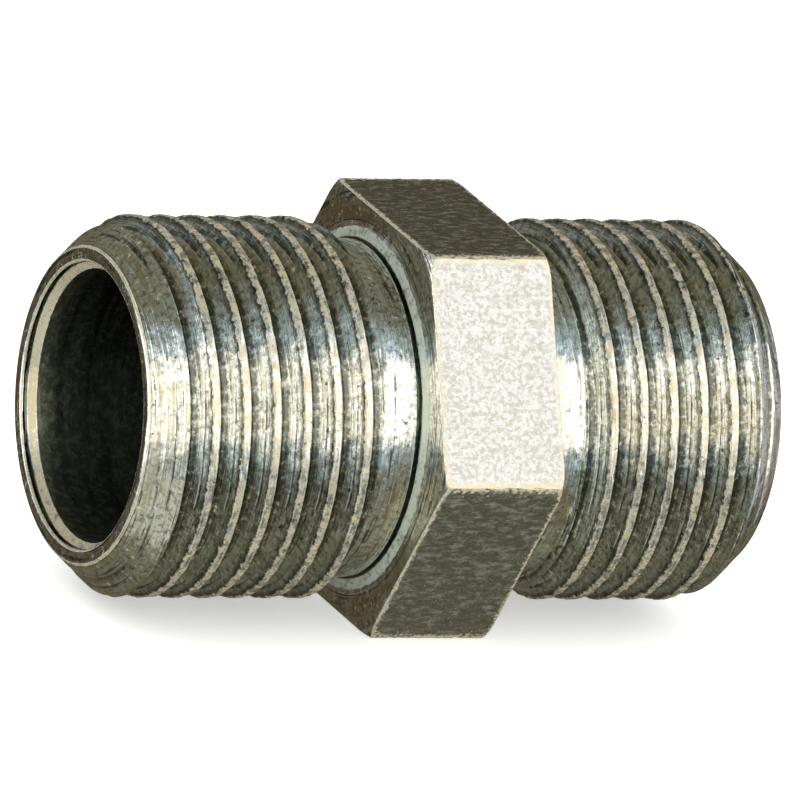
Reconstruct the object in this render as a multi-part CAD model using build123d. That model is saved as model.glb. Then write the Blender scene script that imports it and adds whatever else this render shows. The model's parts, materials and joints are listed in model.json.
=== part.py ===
from build123d import *
import os
from math import ceil, radians, tan

# Hexagon nipple, G 1/2 male to G 1/2 male, turned in one piece from hexagon steel bar.
# Millimetres. The bore lies along X, one flat of the hexagon faces down (-Z), and the
# origin is on the bore's axis, half-way between the two end faces.

# G 1/2 parallel pipe thread, ISO 228-1: Whitworth form, 14 threads per inch. The crests
# are cut to the middle of the outside diameter's tolerance, 20.671 to 20.955.
THREAD_PITCH = 25.4 / 14
THREAD_NOMINAL_DIAMETER = 20.955
THREAD_DIAMETER = 20.8
ROOT_DIAMETER = THREAD_NOMINAL_DIAMETER - 2 * 0.640327 * THREAD_PITCH
ROOT_WIDTH = THREAD_PITCH / 6
FLANK_ANGLE = 27.5
GROOVE_OVERCUT = 0.12
GROOVE_START = 1.5

# Hexagon for the spanner.
HEX_ACROSS_FLATS = 22.0
HEX_LENGTH = 7.2
HEX_CHAMFER_DIAMETER = 24.6
HEX_CHAMFER_ANGLE = 30.0

# The two threaded ends, each measured from the hexagon to its end face.
END_LENGTH_MINUS_X = 16.2
END_LENGTH_PLUS_X = 14.6

# Plain relief between the last thread and the hexagon, where the die or tool runs out.
RELIEF_WIDTH = 2.4
RELIEF_DIAMETER = 18.4

# Low coned collar that the turning leaves on the hexagon's face, round the relief's foot.
COLLAR_DIAMETER = 20.4
COLLAR_CREST_DIAMETER = 18.6
COLLAR_HEIGHT = 0.25

# Lead-in cone on each end, which leaves a narrow flat ring for the end face.
LEAD_FACE_DIAMETER = 17.2
LEAD_LENGTH = 2.1

# The through bore. Each mouth is a short wider step, then a 45 degree cone into the bore.
BORE_DIAMETER = 14.8
MOUTH_DIAMETER = 15.6
MOUTH_DEPTH = 0.4

OVERALL_LENGTH = END_LENGTH_MINUS_X + HEX_LENGTH + END_LENGTH_PLUS_X
END_FACE_X = OVERALL_LENGTH / 2
HEX_MINUS_X = -END_FACE_X + END_LENGTH_MINUS_X
HEX_PLUS_X = END_FACE_X - END_LENGTH_PLUS_X


def turned(points):
    """The solid that a closed outline of (x, radius) points sweeps round the X axis."""
    return revolve(make_face(Polyline(*points, close=True)), Axis.X)


def end_profile(face_x, hex_x):
    """Outline points of one threaded end, from its end face in to the hexagon."""
    inward = 1 if hex_x > face_x else -1
    relief_x = hex_x - inward * RELIEF_WIDTH
    run_down = (THREAD_DIAMETER - RELIEF_DIAMETER) / 2 * tan(radians(FLANK_ANGLE))
    return [
        (face_x, LEAD_FACE_DIAMETER / 2),
        (face_x + inward * LEAD_LENGTH, THREAD_DIAMETER / 2),
        (relief_x - inward * run_down, THREAD_DIAMETER / 2),
        (relief_x, RELIEF_DIAMETER / 2),
        (hex_x, RELIEF_DIAMETER / 2),
    ]


def hexagon_block():
    """The length of hexagon bar left full size, its corners chamfered at both faces."""
    prism = extrude(
        Plane.YZ.offset(HEX_MINUS_X)
        * RegularPolygon(HEX_ACROSS_FLATS / 2, 6, major_radius=False),
        amount=HEX_LENGTH,
    )
    face_radius = HEX_CHAMFER_DIAMETER / 2
    rise = HEX_LENGTH / 2
    peak_radius = face_radius + rise / tan(radians(HEX_CHAMFER_ANGLE))
    double_cone = turned(
        [
            (HEX_MINUS_X, 0),
            (HEX_MINUS_X, face_radius),
            (HEX_MINUS_X + rise, peak_radius),
            (HEX_PLUS_X, face_radius),
            (HEX_PLUS_X, 0),
        ]
    )
    return prism & double_cone


def face_collar(hex_x, outward):
    """The low coned collar on one face of the hexagon."""
    crest_x = hex_x + outward * COLLAR_HEIGHT
    return turned(
        [
            (hex_x - outward * COLLAR_HEIGHT, 0),
            (crest_x, 0),
            (crest_x, COLLAR_CREST_DIAMETER / 2),
            (hex_x, COLLAR_DIAMETER / 2),
            (hex_x - outward * COLLAR_HEIGHT, COLLAR_DIAMETER / 2),
        ]
    )


def turned_blank():
    """The nipple before its threads are cut and its bore is drilled."""
    outline = (
        [(-END_FACE_X, 0)]
        + end_profile(-END_FACE_X, HEX_MINUS_X)
        + end_profile(END_FACE_X, HEX_PLUS_X)[::-1]
        + [(END_FACE_X, 0)]
    )
    collars = face_collar(HEX_MINUS_X, -1) + face_collar(HEX_PLUS_X, 1)
    return turned(outline) + hexagon_block() + collars


def bore():
    """The through bore, with the stepped and coned mouth at each end."""
    radius = BORE_DIAMETER / 2
    mouth = MOUTH_DIAMETER / 2
    step_x = END_FACE_X - MOUTH_DEPTH
    bore_x = step_x - (mouth - radius)
    return turned(
        [
            (-END_FACE_X, 0),
            (-END_FACE_X, mouth),
            (-step_x, mouth),
            (-bore_x, radius),
            (bore_x, radius),
            (step_x, mouth),
            (END_FACE_X, mouth),
            (END_FACE_X, 0),
        ]
    )


def groove_turn():
    """One right-hand turn of the thread's groove, wound up round Z from Z = 0."""
    root_radius = ROOT_DIAMETER / 2
    open_radius = THREAD_DIAMETER / 2 + GROOVE_OVERCUT
    root_half = ROOT_WIDTH / 2
    open_half = root_half + (open_radius - root_radius) * tan(radians(FLANK_ANGLE))
    profile = make_face(
        Polyline(
            (root_radius, 0, -root_half),
            (open_radius, 0, -open_half),
            (open_radius, 0, open_half),
            (root_radius, 0, root_half),
            close=True,
        )
    )
    path = Helix(THREAD_PITCH, THREAD_PITCH, root_radius)
    return sweep(profile, path=path, is_frenet=True)


def cut_thread(blank, hex_x, end_length, turn_to_end):
    """The blank with one end's groove cut, turn by turn, from the relief outwards.

    The first turn starts in the relief, GROOVE_START from the hexagon, and the last one
    ends outside the end face, so the groove runs out into free space at both of its ends.
    """
    turn = groove_turn()
    turns = ceil((end_length - GROOVE_START) / THREAD_PITCH) + 1
    for i in range(turns):
        out = GROOVE_START + i * THREAD_PITCH
        blank = blank - Pos(X=hex_x) * Rot(Y=turn_to_end) * Pos(Z=out) * turn
    return blank


def nipple_body():
    """The finished nipple, with its bore drilled and a thread cut on each end."""
    body = turned_blank() - bore()
    body = cut_thread(body, HEX_PLUS_X, END_LENGTH_PLUS_X, turn_to_end=90)
    return cut_thread(body, HEX_MINUS_X, END_LENGTH_MINUS_X, turn_to_end=-90)


os.makedirs("parts", exist_ok=True)
export_step(nipple_body(), "parts/nipple_body.step")
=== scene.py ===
import json
from math import ceil, cos, pi, radians, sin, sqrt, tan

import bpy
import numpy as np
from mathutils import Matrix, Vector


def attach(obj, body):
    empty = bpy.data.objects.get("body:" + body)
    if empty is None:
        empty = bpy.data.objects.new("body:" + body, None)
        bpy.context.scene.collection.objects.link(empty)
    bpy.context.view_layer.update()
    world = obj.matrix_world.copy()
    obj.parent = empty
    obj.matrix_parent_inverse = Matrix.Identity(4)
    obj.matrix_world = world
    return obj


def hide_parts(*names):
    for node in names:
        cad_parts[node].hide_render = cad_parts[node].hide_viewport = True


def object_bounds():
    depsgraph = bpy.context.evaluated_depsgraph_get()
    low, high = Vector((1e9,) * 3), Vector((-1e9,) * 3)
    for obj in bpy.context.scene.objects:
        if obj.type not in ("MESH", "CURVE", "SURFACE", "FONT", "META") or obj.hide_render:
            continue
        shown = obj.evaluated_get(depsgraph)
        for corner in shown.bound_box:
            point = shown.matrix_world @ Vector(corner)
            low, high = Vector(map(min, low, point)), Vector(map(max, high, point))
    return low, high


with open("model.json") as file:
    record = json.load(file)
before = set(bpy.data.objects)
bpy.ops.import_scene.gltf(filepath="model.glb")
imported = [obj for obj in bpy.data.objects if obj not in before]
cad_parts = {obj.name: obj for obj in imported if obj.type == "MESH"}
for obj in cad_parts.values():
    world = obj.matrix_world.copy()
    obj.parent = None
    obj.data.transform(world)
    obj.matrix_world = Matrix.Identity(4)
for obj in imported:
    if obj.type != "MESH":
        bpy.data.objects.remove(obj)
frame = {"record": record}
CAD_LOW, CAD_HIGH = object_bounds()

# The hex nipple of the frame, drawn again with a rounded thread form, broken edges and a
# worn zinc plating, lying on one flat of its hexagon on a pale floor.

# ---- sizes in millimetres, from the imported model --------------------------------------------

MM = 0.001
MOUNTS = {m["name"]: m for m in frame["record"]["mounts"]}
END_X = CAD_HIGH.x / MM
HEX_FLAT = CAD_HIGH.z / MM
HEX_MIDDLE = MOUNTS["spanner_flat_up"]["pos_m"][0] / MM
BORE_RADIUS = MOUNTS["through_bore"]["dims"]["r_mm"]
BORE_START = MOUNTS["through_bore"]["dims"]["length_mm"] / 2
CREST_RADIUS = MOUNTS["thread_plus_x"]["dims"]["r_mm"]
THREAD_LENGTH = {
    -1: MOUNTS["thread_minus_x"]["dims"]["length_mm"],
    1: MOUNTS["thread_plus_x"]["dims"]["length_mm"],
}

# ---- sizes in millimetres that the record doesn't state --------------------------------------

HEX_HALF_LENGTH = 3.6
CHAMFER_CIRCLE = 12.3
CHAMFER_SLOPE = tan(radians(30))
RELIEF_RADIUS = 9.2
UNDERCUT = 0.12
COLLAR_CREST_RADIUS = 9.3
COLLAR_RADIUS = 10.2
COLLAR_HEIGHT = 0.25
COLLAR_FOOT = 0.1
LEAD_FACE_RADIUS = 8.6
LEAD_LENGTH = 2.1
LEAD_SLOPE = (CREST_RADIUS - LEAD_FACE_RADIUS) / LEAD_LENGTH
MOUTH_RADIUS = 7.8

# The G 1/2 thread, Whitworth form: flanks at 27.5 degrees, crests and roots rounded. Its
# groove starts in the relief, GROOVE_START from the hexagon.
PITCH = 25.4 / 14
DEPTH = 0.640327 * PITCH
ARC_RADIUS = 0.137329 * PITCH
NOMINAL_RADIUS = 20.955 / 2
ROOT_RADIUS = NOMINAL_RADIUS - DEPTH
FLANK = radians(27.5)
ARC_RUN = ARC_RADIUS * cos(FLANK)
ARC_RISE = ARC_RADIUS * (1 - sin(FLANK))
GROOVE_START = 1.5

# Edges and wear: how far the crests, the thread's ends and the hexagon's edges are rounded,
# and how deep the nicks and the unevenness go.
CREST_ROUND = 0.03
THREAD_END_ROUND = 0.08
CORNER_ROUND = 0.22
CORNER_WEAR = 0.30
EDGE_BREAK = 0.1
CREST_NICK = 0.12
CORNER_NICK = 0.10
THREAD_UNEVENNESS = 0.03
FLAT_DISH = 0.012

# Distance under the lead cone over which the surface stops counting as part of the cone.
CONE_SKIN = 0.12

# Rings of the mesh along the flats and the bore, seeds of the wear, and the angle from which
# an edge is shaded as sharp.
FLAT_RINGS = 24
BORE_RINGS = 26
THREAD_SEED = 17
CORNER_SEED = 31
SHARP_ANGLE = radians(50)

# Material numbers of the mesh's faces.
THREAD, TURNED, DRAWN, BORE = range(4)

# What the mesh records of each point, for the materials: how proud of the rest it stands.
# Shade is painted on the deep points. The level between PLAIN and PROUD marks the collar's pale
# ring, where a highlight is painted.
DEEP, PLAIN, HIGHLIGHT_RING, PROUD = 0.0, 0.5, 0.75, 1.0


# ---- the mesh: rings of points round the X axis, joined into one closed skin ------------------


def column_angles():
    """Angles of the mesh's columns: close together at the hexagon's corners, even between."""
    near = [0.0, 0.15, 0.3, 0.45, 0.6, 0.85, 1.3, 2.0]
    half = near + list(np.linspace(near[-1], 30, 13)[1:])
    sixth = [-a for a in half[-2:0:-1]] + half
    return np.radians([60 * k + a for k in range(6) for a in sixth])


THETA = column_angles()
THETA_FROM_ZERO = THETA - THETA[0]
COLUMNS = len(THETA)
HEX_CORNER = HEX_FLAT / cos(pi / 6)


def hexagon_outline():
    """The hexagon's radius in each column, with slightly rounded corners."""
    turn = (THETA + pi / 6) % (pi / 3) - pi / 6
    flat = HEX_FLAT / np.cos(pi / 6 - np.abs(turn))
    centre = HEX_CORNER - CORNER_ROUND / cos(pi / 6)
    aside = centre * np.sin(turn)
    arc = centre * np.cos(turn) + np.sqrt(np.maximum(CORNER_ROUND**2 - aside**2, 0))
    near_corner = np.abs(flat * np.sin(turn)) < CORNER_ROUND / 2
    return np.where(near_corner, np.minimum(flat, arc), flat)


def smooth_min(a, b, blend):
    """The smaller of a and b, with the crease between them rounded over the blend."""
    share = np.clip(0.5 + 0.5 * (b - a) / blend, 0, 1)
    return b + (a - b) * share - blend * share * (1 - share)


def round_noise(random, samples, power=1.0):
    """Random numbers from 0 to 1 round the circle, evenly spaced whatever the columns.

    A power over 1 makes high values rare.
    """
    values = random.random(samples) ** power
    return np.interp(THETA, np.arange(samples) * 2 * pi / samples, values, period=2 * pi)


def thread_height(across):
    """The thread's height over its root, that far across from the groove's middle."""
    d = min(across, PITCH - across)
    if d < ARC_RUN:
        return ARC_RADIUS - sqrt(ARC_RADIUS**2 - d**2)
    if PITCH / 2 - d < ARC_RUN:
        return DEPTH - ARC_RADIUS + sqrt(ARC_RADIUS**2 - (PITCH / 2 - d) ** 2)
    return ARC_RISE + (d - ARC_RUN) / tan(FLANK)


def thread_rows():
    """Distances across one pitch at which the thread has a row of points."""
    flat_crest = ARC_RADIUS - NOMINAL_RADIUS + CREST_RADIUS
    land = PITCH / 2 - sqrt(ARC_RADIUS**2 - flat_crest**2)
    half = [0, 0.45 * ARC_RUN, 0.8 * ARC_RUN]
    half += list(np.linspace(ARC_RUN, land, 6))
    half += [(land + PITCH / 2) / 2]
    return half + [PITCH / 2] + [PITCH - a for a in half[:0:-1]]


class Skin:
    """The points and faces of the closed skin, gathered ring by ring."""

    def __init__(self):
        self.points = []
        self.heights = []
        self.faces = []
        self.materials = []
        self.count = 0

    def ring(self, x, radius, height=PLAIN):
        """Adds one ring, a point in each column, and gives the points' numbers."""
        x, radius, height = (np.broadcast_to(v, COLUMNS) for v in (x, radius, height))
        self.points.append(np.stack([x, radius * np.cos(THETA), radius * np.sin(THETA)], 1))
        self.heights.append(height)
        self.count += COLUMNS
        return np.arange(self.count - COLUMNS, self.count)

    def quads(self, corners, material):
        """Adds faces between four rows of points, leaving out corners that coincide."""
        for row in np.stack(corners, 1).tolist():
            face = [v for i, v in enumerate(row) if v != row[i - 1]]
            if len(face) > 2:
                self.faces.append(face)
                self.materials.append(material)

    def join(self, rings, material):
        """Adds the faces between each ring of a list and the next."""
        for low, high in zip(rings, rings[1:]):
            self.quads([low, np.roll(low, -1), np.roll(high, -1), high], material)

    def turned(self, profile):
        """Adds a ring for each (x, radius, height) of a turned profile."""
        return [self.ring(*point) for point in profile]


def thread_point(side, x, across, random):
    """Radius and proudness of one row of thread points, worn and faded out at its ends."""
    lead = LEAD_FACE_RADIUS + np.abs(side * END_X - x) * LEAD_SLOPE
    relief_x = side * (END_X - THREAD_LENGTH[side])
    runout = RELIEF_RADIUS + np.abs(x - relief_x) / tan(FLANK)
    crest = smooth_min(ROOT_RADIUS + thread_height(across), CREST_RADIUS, CREST_ROUND)
    on_lead = smooth_min(crest, lead, THREAD_END_ROUND)
    radius = smooth_min(on_lead, runout, THREAD_END_ROUND)
    height = np.clip((radius - ROOT_RADIUS) / (CREST_RADIUS - ROOT_RADIUS), 0, 1)
    on_cone = np.clip(1 - (lead - radius) / CONE_SKIN, 0, 1)
    radius = radius - CREST_NICK * height**6 * round_noise(random, samples=150, power=4)
    radius = radius - THREAD_UNEVENNESS * round_noise(random, samples=110)
    return radius, height + (PLAIN - height) * on_cone


def thread_patch(skin, side, low_ring, high_ring, low, high):
    """The thread from x = low to x = high, on rows that follow its helix.

    The rows run past both ends. Their points there are replaced by the points of the
    rings that the thread has to meet.
    """
    groove_x = HEX_MIDDLE + side * (HEX_HALF_LENGTH + GROOVE_START + PITCH / 4)
    groove_x += PITCH * THETA[0] / (2 * pi)
    first = groove_x + PITCH * (ceil((low - groove_x) / PITCH) - 2)
    turns = ceil((high - first) / PITCH) + 2
    steps = thread_rows()
    random = np.random.default_rng(THREAD_SEED + side)
    snap = 0.02

    def row(offset, across):
        x = first + offset + PITCH * THETA_FROM_ZERO / (2 * pi)
        ring = skin.ring(x, *thread_point(side, x, across, random))
        return np.where(x < low + snap, low_ring, np.where(x > high - snap, high_ring, ring))

    rows = [row(turn * PITCH + across, across) for turn in range(turns) for across in steps]
    for j in range(len(rows) - 1):
        ahead = [rows[min(j + k + len(steps), len(rows) - 1)][0] for k in (0, 1)]
        next_low = np.append(rows[j][1:], ahead[0])
        next_high = np.append(rows[j + 1][1:], ahead[1])
        skin.quads([rows[j], next_low, next_high, rows[j + 1]], THREAD)


def end_face(side):
    """Profile of one end face, from the bore out to its broken outer edge."""
    face = side * END_X
    b = EDGE_BREAK
    step = side * (BORE_START + MOUTH_RADIUS - BORE_RADIUS)
    return [
        (side * BORE_START, BORE_RADIUS, DEEP),
        (side * (BORE_START + 0.05), BORE_RADIUS + 0.05, PROUD),
        (side * (BORE_START + 0.2), BORE_RADIUS + 0.2, PROUD),
        (step - side * 0.05, MOUTH_RADIUS - 0.05, PROUD),
        (step + side * 0.02, MOUTH_RADIUS, DEEP),
        (face - side * 1.6 * b, MOUTH_RADIUS, DEEP),
        (face - side * b, MOUTH_RADIUS + 0.01, PROUD),
        (face - side * 0.2 * b, MOUTH_RADIUS + 0.8 * b, PROUD),
        (face, MOUTH_RADIUS + 1.4 * b, PLAIN),
        (face, (MOUTH_RADIUS + LEAD_FACE_RADIUS) / 2, PLAIN),
        (face, LEAD_FACE_RADIUS - 0.8 * b, PLAIN),
        (face - side * 0.3 * b, LEAD_FACE_RADIUS - 0.2 * b, PROUD),
        (face - side * b, LEAD_FACE_RADIUS + LEAD_SLOPE * b, PROUD),
    ]


def relief(side):
    """Profile of the relief, its undercut foot and the low collar, from the thread in."""
    start = side * (END_X - THREAD_LENGTH[side])
    face = HEX_MIDDLE + side * HEX_HALF_LENGTH
    crest = face + side * COLLAR_HEIGHT
    foot = crest + side * 2 * UNDERCUT
    profile = []
    for share in (0, 0.25, 0.5, 0.75, 0.92, 1.0):
        profile.append((start + (foot - start) * share, RELIEF_RADIUS, PLAIN))
    profile.append((crest + side * 1.3 * UNDERCUT, RELIEF_RADIUS - UNDERCUT, DEEP))
    profile.append((crest + side * 0.3 * UNDERCUT, RELIEF_RADIUS - UNDERCUT, DEEP))
    profile.append((crest, COLLAR_CREST_RADIUS - 0.05, DEEP))
    # The inner half of the collar's cone carries the ring of painted highlight.
    cone = ((0.04, HIGHLIGHT_RING), (0.1, HIGHLIGHT_RING), (0.55, HIGHLIGHT_RING), (0.75, PLAIN), (0.97, PLAIN))
    for share, height in cone:
        radius = COLLAR_CREST_RADIUS + (COLLAR_RADIUS - COLLAR_CREST_RADIUS) * share
        profile.append((crest - side * COLLAR_HEIGHT * share, radius, height))
    profile.append((face, COLLAR_RADIUS, DEEP))
    profile.append((face, COLLAR_RADIUS + COLLAR_FOOT, PLAIN))
    return profile


def hexagon_face(skin, side, outline):
    """Rings of the hexagon's face outside its collar, out to its broken edge."""
    face = HEX_MIDDLE + side * HEX_HALF_LENGTH

    def ring(radius, lower, height):
        chamfer = np.maximum(radius - CHAMFER_CIRCLE, 0) * CHAMFER_SLOPE
        return skin.ring(face - side * (chamfer + lower), radius, height)

    inner = COLLAR_RADIUS + COLLAR_FOOT
    rings = []
    for share in (0.35, 0.7):
        rings.append(ring(inner + (outline - EDGE_BREAK - inner) * share, 0, PLAIN))
    rings.append(ring(outline - EDGE_BREAK, 0, PLAIN))
    rings.append(ring(outline - 0.3 * EDGE_BREAK, 0.3 * EDGE_BREAK, PROUD))
    rings.append(ring(outline, EDGE_BREAK, PROUD))
    return rings


def hexagon_flats(skin, outline):
    """Rings along the six flats, between the two broken edges, with nicks on the corners."""
    random = np.random.default_rng(CORNER_SEED)
    corner = np.clip((outline - HEX_CORNER + CORNER_WEAR) / CORNER_ROUND, 0, 1)
    chamfer = np.maximum(outline - CHAMFER_CIRCLE, 0) * CHAMFER_SLOPE
    half = HEX_HALF_LENGTH - chamfer - EDGE_BREAK
    rings = []
    for share in np.linspace(-1, 1, FLAT_RINGS + 2)[1:-1]:
        nick = CORNER_NICK * corner * round_noise(random, samples=720, power=7)
        dish = FLAT_DISH * share**4 * (1 - corner)
        height = PLAIN + (PROUD - PLAIN) * corner
        rings.append(skin.ring(HEX_MIDDLE + half * share, outline - nick - dish, height))
    return rings


def bore_wall():
    """Profile of the bore, from the mouth at +X back to the one at -X."""
    places = np.linspace(BORE_START, -BORE_START, BORE_RINGS + 2)[1:-1]
    return [(x, BORE_RADIUS, DEEP) for x in places]


def nipple_skin():
    """The whole closed skin, in millimetres."""
    skin = Skin()
    outline = hexagon_outline()
    low_face = skin.turned(end_face(-1))
    low_relief = skin.turned(relief(-1))
    low_hex = hexagon_face(skin, -1, outline)
    flats = hexagon_flats(skin, outline)
    high_hex = hexagon_face(skin, 1, outline)[::-1]
    high_relief = skin.turned(relief(1))[::-1]
    high_face = skin.turned(end_face(1))[::-1]
    wall = skin.turned(bore_wall())
    thread_patch(skin, -1, low_face[-1], low_relief[0],
                 EDGE_BREAK - END_X, THREAD_LENGTH[-1] - END_X)
    thread_patch(skin, 1, high_relief[-1], high_face[0],
                 END_X - THREAD_LENGTH[1], END_X - EDGE_BREAK)
    skin.join(low_face, TURNED)
    skin.join(low_relief + low_hex, TURNED)
    skin.join([low_hex[-1]] + flats + [high_hex[0]], DRAWN)
    skin.join(high_hex + high_relief, TURNED)
    skin.join(high_face, TURNED)
    skin.join([high_face[-1]] + wall + [low_face[0]], BORE)
    return skin


def nipple_mesh():
    """The skin as one mesh in metres, without the thread points that no face uses."""
    skin = nipple_skin()
    used = np.unique(np.concatenate(skin.faces))
    number = np.full(skin.count, -1)
    number[used] = np.arange(len(used))
    points = np.concatenate(skin.points)[used] * MM
    mesh = bpy.data.meshes.new("nipple")
    mesh.from_pydata(points.tolist(), [], [number[f].tolist() for f in skin.faces])
    mesh.polygons.foreach_set("material_index", skin.materials)
    mesh.polygons.foreach_set("use_smooth", np.ones(len(skin.faces), bool))
    mesh.attributes.new("proud", "FLOAT", "POINT").data.foreach_set(
        "value", np.concatenate(skin.heights)[used]
    )
    mesh.set_sharp_from_angle(angle=SHARP_ANGLE)
    mesh.update()
    return mesh


# ---- materials ---------------------------------------------------------------------------------


class Tree:
    """A short way to write a node tree."""

    def __init__(self, tree):
        self.tree = tree

    def add(self, kind, settings=(), **inputs):
        """Adds a node, sets its properties, and links or sets its inputs by name or number."""
        node = self.tree.nodes.new("ShaderNode" + kind)
        for key, value in dict(settings).items():
            setattr(node, key, value)
        for key, value in inputs.items():
            socket = node.inputs[int(key[1:])] if key[1:].isdigit() else node.inputs[key]
            self.put(socket, value)
        return node

    def put(self, socket, value):
        """Links a node's output to a socket, or sets the socket's own value."""
        if isinstance(value, bpy.types.NodeSocket):
            self.tree.links.new(value, socket)
        else:
            socket.default_value = value

    def math(self, operation, *values):
        """A Math node's result."""
        named = {f"i{i}": v for i, v in enumerate(values)}
        return self.add("Math", {"operation": operation}, **named).outputs[0]

    def times(self, first, second):
        """The product of two values."""
        return self.math("MULTIPLY", first, second)

    def vector(self, x, y, z):
        """A vector made of three numbers."""
        return self.add("CombineXYZ", X=x, Y=y, Z=z).outputs[0]

    def scaled(self, vector, scale):
        """A vector times a number."""
        made = self.add("VectorMath", {"operation": "SCALE"}, i0=vector, Scale=scale)
        return made.outputs[0]

    def noise(self, place, scale, detail=3.0, rough=0.55):
        """Noise at a place, from 0 to 1. A larger scale makes it finer."""
        made = self.add("TexNoise", Vector=place, Scale=scale, Detail=detail, Roughness=rough)
        return made.outputs["Fac"]

    def fade(self, value, low, high, first=0.0, last=1.0):
        """The value spread from low..high to first..last, clamped."""
        named = {"i0": value, "i1": low, "i2": high, "i3": first, "i4": last}
        return self.add("MapRange", **named).outputs[0]

    def blend(self, share, first, second):
        """A colour between two."""
        return self.add("Mix", {"data_type": "RGBA"}, i0=share, i6=first, i7=second).outputs[2]

    def bump(self, height, millimetres, strength=1.0, normal=None):
        """A normal bent by a height, chained on another normal."""
        node = self.add("Bump", Height=height, Distance=millimetres * MM, Strength=strength)
        if normal is not None:
            self.put(node.inputs["Normal"], normal)
        return node.outputs["Normal"]


class Surface(Tree):
    """A material's node tree."""

    def __init__(self, name):
        self.material = bpy.data.materials.new(name)
        self.material.use_nodes = True
        super().__init__(self.material.node_tree)
        self.shader = self.tree.nodes["Principled BSDF"]

    def finish(self, colour, metallic, roughness, normal):
        """Feeds the shader and gives the material back."""
        self.put(self.shader.inputs["Metallic"], metallic)
        self.put(self.shader.inputs["Base Color"], colour)
        self.put(self.shader.inputs["Roughness"], roughness)
        self.put(self.shader.inputs["Normal"], normal)
        return self.material


ZINC_PALE = (0.94, 0.93, 0.90, 1)
ZINC_DRAWN = (0.54, 0.53, 0.51, 1)
ZINC_DRAWN_DARK = (0.40, 0.385, 0.34, 1)
ZINC_GREEN = (0.82, 0.85, 0.80, 1)
ZINC_CREAM = (0.60, 0.53, 0.37, 1)
ZINC_DULL = (0.44, 0.44, 0.38, 1)
# Pale green painted on the collar's ring as a highlight.
PAINTED_HIGHLIGHT_PALE = (0.62, 0.70, 0.61, 1)
GLANCING_TINT = (0.50, 0.47, 0.38, 1)
# The next two colours: a grey for painted shade in the thread's roots and under its crests, then a
# near black for the pits and scratches and for the darkest painted shade.
PAINTED_SHADE_FILM = (0.30, 0.30, 0.25, 1)
PIT_BLACK_AND_PAINTED_SHADE = (0.06, 0.065, 0.05, 1)
# The bore's colours: dull bare steel, darkened further with painted shade of the hole.
BORE_STEEL_AND_SHADE = (0.07, 0.08, 0.06, 1)
BORE_GREY_AND_SHADE = (0.18, 0.20, 0.155, 1)


def millimetres(nodes):
    """The object's own coordinates in millimetres."""
    return nodes.scaled(nodes.add("TexCoord").outputs["Object"], 1 / MM)


def split(nodes, place):
    """The x, y and z of a vector."""
    return list(nodes.add("SeparateXYZ", Vector=place).outputs)


def stretched(nodes, along, across):
    """Millimetre coordinates scaled differently along the bar and across it."""
    x, y, z = split(nodes, millimetres(nodes))
    return nodes.vector(nodes.times(x, along), nodes.times(y, across), nodes.times(z, across))


def proud(nodes):
    """The mesh's own record of how proud each point stands, from DEEP to PROUD."""
    return nodes.add("Attribute", {"attribute_name": "proud"}).outputs["Fac"]


def speckled(nodes, place):
    """The plating's own colour: pale, clouded with green, speckled dull, with dark pits."""
    clouds = nodes.noise(place, 0.6, 4.0, 0.6)
    specks = nodes.noise(place, 3.0, 3.0, 0.75)
    pits = nodes.noise(place, 2.1, 2.0, 0.6)
    colour = nodes.blend(nodes.fade(clouds, 0.40, 0.66), ZINC_PALE, ZINC_GREEN)
    colour = nodes.blend(nodes.fade(specks, 0.50, 0.62), colour, ZINC_DULL)
    return nodes.blend(nodes.fade(pits, 0.66, 0.72, 0.0, 0.9), colour, PIT_BLACK_AND_PAINTED_SHADE)


def turning_marks(nodes, per_millimetre, on_thread):
    """Tool marks round the axis. On a thread they repeat each pitch and follow its helix."""
    x, y, z = split(nodes, millimetres(nodes))
    radius = nodes.math("SQRT", nodes.math("ADD", nodes.times(y, y), nodes.times(z, z)))
    if on_thread:
        angle = nodes.math("ARCTAN2", z, y)
        x = nodes.math("SUBTRACT", x, nodes.times(angle, PITCH / (2 * pi)))
        x = nodes.math("MODULO", nodes.math("ADD", x, 100 * PITCH), PITCH)
    across = nodes.times(nodes.math("ADD", x, radius), per_millimetre)
    place = nodes.vector(across, nodes.times(y, 0.15), nodes.times(z, 0.15))
    return nodes.noise(place, 1.0, 3.0, 0.55)


def streaked(nodes, colour, marks, breaks):
    """Broken cream stripes and dark scratches along the tool marks."""
    stripe = nodes.times(nodes.fade(marks, 0.53, 0.60, 0.0, 0.75),
                         nodes.fade(breaks, 0.36, 0.50, 0.2, 1.0))
    scratch = nodes.times(nodes.fade(marks, 0.36, 0.43, 0.85, 0.0),
                          nodes.fade(breaks, 0.34, 0.46))
    colour = nodes.blend(stripe, colour, ZINC_CREAM)
    return nodes.blend(scratch, colour, PIT_BLACK_AND_PAINTED_SHADE)


def thread_painted_shade(nodes, colour, ragged, breaks):
    """Painted shade on a thread: a grey film and a darker line, in the root and just under the
    crest, where the thread shades itself.
    """
    below_crest = nodes.fade(ragged, 0.88, 0.95, 1.0, 0.0)
    broken = nodes.fade(breaks, 0.38, 0.60, 0.5, 1.0)
    film = nodes.times(nodes.times(nodes.fade(ragged, 0.62, 0.76), below_crest), broken)
    film = nodes.math("MAXIMUM", film, nodes.fade(ragged, 0.04, 0.16, 1.0, 0.0))
    line = nodes.times(nodes.times(nodes.fade(ragged, 0.78, 0.85), below_crest), broken)
    line = nodes.math("MAXIMUM", line, nodes.fade(ragged, 0.0, 0.07, 0.7, 0.0))
    return nodes.blend(line, nodes.blend(film, colour, PAINTED_SHADE_FILM), PIT_BLACK_AND_PAINTED_SHADE)


def recess_painted_shade(nodes, colour, ragged):
    """Painted shade in the recesses: the undercut, the collar's foot, the bore's edge and the step
    of its mouth.
    """
    return nodes.blend(nodes.fade(ragged, 0.1, 0.3, 0.9, 0.0), colour, PIT_BLACK_AND_PAINTED_SHADE)


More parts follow.
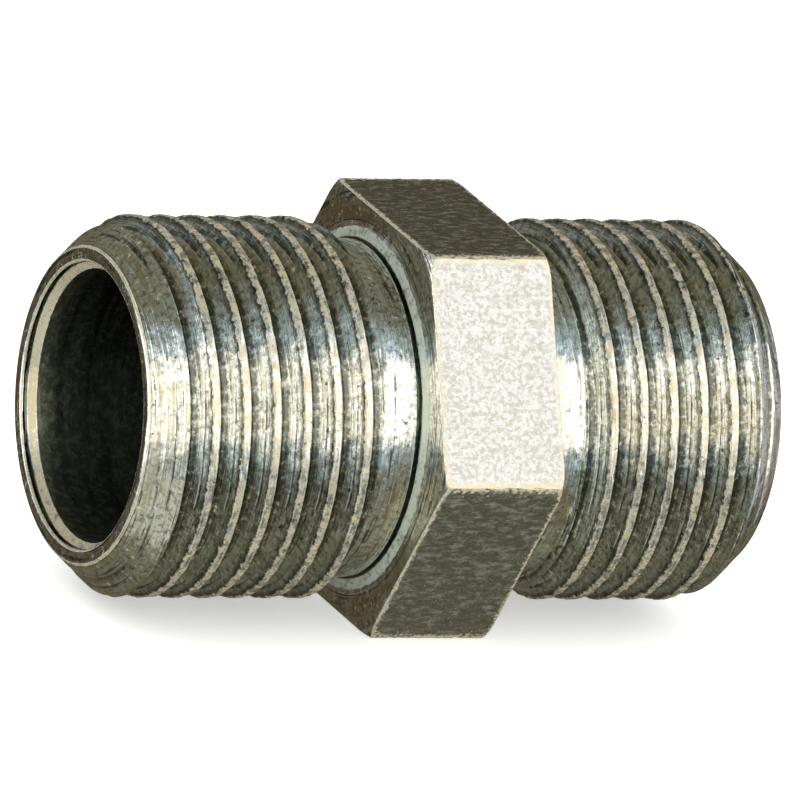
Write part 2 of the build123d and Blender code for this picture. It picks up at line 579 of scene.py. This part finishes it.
def painted_highlight_ring(nodes, ragged, breaks):
    """How far the surface belongs to the collar's pale ring, where a highlight is painted."""
    above_plain = nodes.fade(ragged, 0.60, 0.68)
    below_proud = nodes.fade(ragged, 0.86, 0.92, 1.0, 0.0)
    broken = nodes.fade(breaks, 0.36, 0.50, 0.35, 1.0)
    return nodes.times(nodes.times(above_plain, below_proud), broken)


def turned_zinc(name, marks_per_millimetre, on_thread):
    """Zinc over a turned surface, worn to a matt cream where it stands proud."""
    nodes = Surface(name)
    place = millimetres(nodes)
    marks = turning_marks(nodes, marks_per_millimetre, on_thread)
    grain = nodes.noise(place, 2.6, 4.0, 0.7)
    breaks = nodes.noise(place, 1.9, 3.0, 0.65)
    swell = nodes.noise(stretched(nodes, 1.5, 0.8), 1.0, 2.0, 0.5)
    ragged = nodes.math("ADD", proud(nodes), nodes.fade(grain, 0.3, 0.7, -0.10, 0.10))

    colour = streaked(nodes, speckled(nodes, place), marks, breaks)
    # Painted shade: on a thread in its roots and just under its crests, elsewhere in the recesses
    # that the mesh marks as deep.
    if on_thread:
        colour = thread_painted_shade(nodes, colour, ragged, breaks)
    else:
        colour = recess_painted_shade(nodes, colour, ragged)
    least_wear = 0.25 if on_thread else 0.85
    edge = nodes.times(nodes.fade(ragged, 0.90, 0.99),
                       nodes.fade(breaks, 0.44, 0.58, 1.0, least_wear))
    colour = nodes.blend(edge, colour, ZINC_CREAM)
    matt = nodes.math("MAXIMUM", nodes.times(edge, 0.5),
                      nodes.fade(grain, 0.58, 0.72, 0.0, 0.30))
    # The collar's ring gets a painted highlight: a pale colour, partly matt.
    if not on_thread:
        highlight_share = painted_highlight_ring(nodes, ragged, breaks)
        colour = nodes.blend(highlight_share, colour, PAINTED_HIGHLIGHT_PALE)
        matt = nodes.math("MAXIMUM", matt, nodes.times(highlight_share, 0.55))

    roughness = nodes.math("ADD", nodes.fade(grain, 0.3, 0.7, 0.08, 0.20),
                           nodes.times(edge, 0.15))
    normal = nodes.bump(marks, 0.09)
    normal = nodes.bump(grain, 0.008, normal=normal)
    normal = nodes.bump(swell, 0.07, normal=normal)
    return nodes.finish(colour, nodes.math("SUBTRACT", 1.0, matt), roughness, normal)


def drawn_zinc():
    """Zinc over the drawn flats of the bar: fine broken lines along it, worn pale edges."""
    nodes = Surface("zinc_on_drawn_flats")
    lines = nodes.noise(stretched(nodes, 1.3, 3.0), 1.0, 3.0, 0.65)
    long_lines = nodes.noise(stretched(nodes, 0.05, 2.2), 1.0, 2.0, 0.5)
    grain = nodes.noise(millimetres(nodes), 4.0, 4.0, 0.65)
    ragged = nodes.math("ADD", proud(nodes), nodes.fade(grain, 0.3, 0.7, -0.35, 0.35))
    edge = nodes.fade(ragged, 0.75, 1.0)

    colour = nodes.blend(nodes.fade(lines, 0.52, 0.62, 0.0, 0.7), ZINC_DRAWN, ZINC_DRAWN_DARK)
    colour = nodes.blend(nodes.fade(grain, 0.48, 0.58), colour, ZINC_DRAWN_DARK)
    colour = nodes.blend(nodes.fade(long_lines, 0.62, 0.66, 0.0, 0.12), colour, ZINC_PALE)
    colour = nodes.blend(edge, colour, ZINC_CREAM)
    matt = nodes.math("MAXIMUM", nodes.times(edge, 0.6),
                      nodes.fade(lines, 0.36, 0.50, 0.14, 0.0))
    roughness = nodes.fade(grain, 0.3, 0.7, 0.16, 0.28)
    normal = nodes.bump(lines, 0.012)
    normal = nodes.bump(grain, 0.014, normal=normal)
    nodes.shader.inputs["Specular Tint"].default_value = GLANCING_TINT
    return nodes.finish(colour, nodes.math("SUBTRACT", 1.0, matt), roughness, normal)


def bore_steel():
    """The drilled bore: rough, with rings of tool marks. Its steel is coloured near black, partly
    the steel's own dull tone and partly painted shade of the hole.
    """
    nodes = Surface("drilled_bore")
    marks = nodes.noise(stretched(nodes, 3.0, 0.1), 1.0, 3.0, 0.6)
    grain = nodes.noise(millimetres(nodes), 2.2, 4.0, 0.65)
    colour = nodes.blend(nodes.fade(grain, 0.45, 0.7), BORE_STEEL_AND_SHADE, BORE_GREY_AND_SHADE)
    normal = nodes.bump(marks, 0.02)
    normal = nodes.bump(grain, 0.05, strength=0.8, normal=normal)
    return nodes.finish(colour, 1.0, nodes.fade(marks, 0.3, 0.7, 0.4, 0.6), normal)


def build_nipple():
    """The visible nipple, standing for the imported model's node."""
    mesh = nipple_mesh()
    mesh.materials.append(turned_zinc("zinc_on_thread", 2.8, on_thread=True))
    mesh.materials.append(turned_zinc("zinc_on_turning", 2.4, on_thread=False))
    mesh.materials.append(drawn_zinc())
    mesh.materials.append(bore_steel())
    nipple = bpy.data.objects.new("hex_nipple", mesh)
    bpy.context.scene.collection.objects.link(nipple)
    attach(nipple, "root")
    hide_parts("nipple_body")


# ---- floor, camera and light: lengths in metres -------------------------------------------------

CAMERA_AZIMUTH = radians(-27.1)
CAMERA_ELEVATION = radians(18.0)
CAMERA_ROLL = radians(9.4)
CAMERA_DISTANCE = 1.5
FRAME_WIDTH = 43.44 * MM
AIM_RIGHT = 0.10 * MM
AIM_UP = 0.42 * MM

FLOOR_HALF = 3.0
FLOOR_COLOUR = (0.92, 0.92, 0.91, 1)
FLOOR_GLOW = 0.4

OVERHEAD_DISTANCE = 0.9
OVERHEAD_SIZE = 1.2
OVERHEAD_POWER = 2.0


def camera_axes():
    """The camera's right, up and back directions, with its roll."""
    back = Vector((
        sin(CAMERA_AZIMUTH) * cos(CAMERA_ELEVATION),
        -cos(CAMERA_AZIMUTH) * cos(CAMERA_ELEVATION),
        sin(CAMERA_ELEVATION),
    ))
    level = Vector((0, 0, 1)).cross(back).normalized()
    up = back.cross(level)
    turn = Matrix.Rotation(CAMERA_ROLL, 3, back)
    return turn @ level, turn @ up, back


RIGHT, UP, BACK = camera_axes()


def build_camera():
    """The camera, at a distance with a long lens, so that the view is nearly parallel."""
    data = bpy.data.cameras.new("camera")
    data.lens = data.sensor_width * CAMERA_DISTANCE / FRAME_WIDTH
    data.clip_start = 0.05
    data.clip_end = 20
    camera = bpy.data.objects.new("camera", data)
    aim = RIGHT * AIM_RIGHT + UP * AIM_UP
    axes = Matrix((RIGHT, UP, BACK)).transposed().to_4x4()
    camera.matrix_world = Matrix.Translation(aim + BACK * CAMERA_DISTANCE) @ axes
    bpy.context.scene.collection.objects.link(camera)
    bpy.context.scene.camera = camera


def floor_material():
    """A matt pale floor that glows a little, so that the shadow on it stays light."""
    nodes = Surface("pale_floor")
    settings = {
        "Metallic": 0.0,
        "Base Color": FLOOR_COLOUR,
        "Roughness": 0.9,
        "Emission Color": (1, 1, 1, 1),
        "Emission Strength": FLOOR_GLOW,
        "Specular IOR Level": 0.1,
    }
    for name, value in settings.items():
        nodes.shader.inputs[name].default_value = value
    return nodes.material


def build_floor():
    """A plain floor under the hexagon's lowest flat. The metal doesn't mirror it."""
    half = FLOOR_HALF
    mesh = bpy.data.meshes.new("floor")
    corners = [(-half, -half, 0), (half, -half, 0), (half, half, 0), (-half, half, 0)]
    mesh.from_pydata(corners, [], [(0, 1, 2, 3)])
    mesh.materials.append(floor_material())
    floor = bpy.data.objects.new("floor", mesh)
    floor.location.z = CAD_LOW.z
    floor.visible_glossy = False
    bpy.context.scene.collection.objects.link(floor)


def build_overhead_light():
    """A soft square lamp overhead, facing the object. The metal doesn't mirror it."""
    data = bpy.data.lights.new("overhead", "AREA")
    data.shape = "RECTANGLE"
    data.size = OVERHEAD_SIZE
    data.size_y = OVERHEAD_SIZE
    data.energy = OVERHEAD_POWER
    light = bpy.data.objects.new("overhead", data)
    towards = (RIGHT * 0.10 + UP * 0.95 + BACK * 0.20).normalized()
    side = UP.cross(towards).normalized()
    axes = Matrix((side, towards.cross(side), towards)).transposed().to_4x4()
    light.matrix_world = Matrix.Translation(towards * OVERHEAD_DISTANCE) @ axes
    light.visible_camera = False
    light.visible_glossy = False
    bpy.context.scene.collection.objects.link(light)


# The surroundings that the metal mirrors. A bright band stands square to UP, a little over
# the level of the object. BAND_STOPS is its colour from the middle outwards: white, then a
# blue-grey edge, then the dark halves over and under it. Position 0.25 is the band's edge,
# and 1 is four half-heights out.
BAND_LEVEL = 0.05
BAND_STRENGTH = 1.9
BAND_STRENGTH_LEFT = 1.5 * BAND_STRENGTH
BAND_EDGE_POSITION = 0.25
BAND_STOPS = (
    (0.00, (1.00, 0.99, 0.96)),
    (0.21, (1.00, 1.00, 0.98)),
    (0.28, (0.54, 0.68, 0.76)),
    (0.37, (0.30, 0.37, 0.38)),
    (0.46, (0.175, 0.175, 0.127)),
    (1.00, (0.168, 0.154, 0.102)),
)

# Places in those surroundings with a tone of their own. BEHIND is straight behind the
# object, and the others lie round the direction given.
BEHIND_COLOUR = (0.135, 0.120, 0.080, 1)
FRONT_LEFT = (RIGHT * -0.49 + BACK * 0.87).normalized()
FRONT_LEFT_COLOUR = (0.95, 0.87, 0.62, 1)
LOW_LEFT = (RIGHT * -0.50 + UP * -0.75 + BACK * 0.43).normalized()
LOW_LEFT_COLOUR = (0.55, 0.56, 0.46, 1)
DARK_SIDE = (RIGHT * -0.81 + BACK * -0.59).normalized()
DARK_SIDE_COLOUR = (0.090, 0.076, 0.048, 1)

# What everything but a mirror reflection sees: plain white, a little over full scale.
BACKGROUND_COLOUR = (1.3, 1.3, 1.29, 1)


def along(nodes, towards, axis):
    """How far a direction points along an axis, from -1 to 1."""
    made = nodes.add("VectorMath", {"operation": "DOT_PRODUCT"}, i0=towards, i1=axis)
    return made.outputs["Value"]


def band_colour(nodes, rise):
    """The band's colour, from its middle (rise 0) past its edge (rise 1)."""
    ramp = nodes.add("ValToRGB", Fac=nodes.times(rise, BAND_EDGE_POSITION))
    elements = ramp.color_ramp.elements
    while len(elements) < len(BAND_STOPS):
        elements.new(0.5)
    for element, (position, colour) in zip(elements, BAND_STOPS):
        element.position = position
        element.color = (*colour, 1)
    return ramp.outputs["Color"]


def bright_band(nodes, right, up, back):
    """The band, brighter on the left, taller on the right, and held down behind."""
    half_height = nodes.times(nodes.fade(right, -1.0, 1.0, 0.28, 0.50),
                              nodes.fade(back, -0.9, -0.3, 0.6, 1.0))
    level = nodes.math("ABSOLUTE", nodes.math("SUBTRACT", up, BAND_LEVEL))
    rise = nodes.math("DIVIDE", level, half_height)
    strength = nodes.fade(right, -0.8, 0.2, BAND_STRENGTH_LEFT, BAND_STRENGTH)
    gain = nodes.fade(rise, 0.75, 1.10, strength, 1.0)
    weaker_below = nodes.fade(up, -0.6, -0.3, 0.85, 1.0)
    stronger_straight_down = nodes.fade(up, -0.95, -0.75, 1.45, 1.0)
    gain = nodes.times(nodes.times(gain, weaker_below), stronger_straight_down)
    band = nodes.scaled(band_colour(nodes, rise), gain)
    limit = nodes.fade(back, -0.42, -0.10, 0.50, 3.0)
    return nodes.add("VectorMath", {"operation": "MINIMUM"}, i0=band, i1=limit).outputs[0]


def build_world():
    """Plain white all round, but mirror reflections see the band and the toned places."""
    world = bpy.data.worlds.new("studio")
    world.use_nodes = True
    bpy.context.scene.world = world
    nodes = Tree(world.node_tree)
    towards = nodes.add("TexCoord").outputs["Generated"]
    right, up, back = (along(nodes, towards, axis) for axis in (RIGHT, UP, BACK))
    front_left = nodes.fade(along(nodes, towards, FRONT_LEFT), 0.86, 0.96, 0.0, 0.85)
    low_left = nodes.fade(along(nodes, towards, LOW_LEFT), 0.84, 0.95)
    dark_side = nodes.fade(along(nodes, towards, DARK_SIDE), 0.80, 0.97)

    mirrored = bright_band(nodes, right, up, back)
    mirrored = nodes.blend(nodes.fade(back, -0.68, -0.84), mirrored, BEHIND_COLOUR)
    mirrored = nodes.blend(front_left, mirrored, FRONT_LEFT_COLOUR)
    mirrored = nodes.blend(low_left, mirrored, LOW_LEFT_COLOUR)
    mirrored = nodes.blend(dark_side, mirrored, DARK_SIDE_COLOUR)
    glossy = nodes.add("LightPath").outputs["Is Glossy Ray"]
    seen = nodes.blend(glossy, BACKGROUND_COLOUR, mirrored)
    nodes.put(world.node_tree.nodes["Background"].inputs["Color"], seen)


build_nipple()
build_camera()
build_floor()
build_world()
build_overhead_light()
bpy.context.scene.view_settings.view_transform = "Standard"
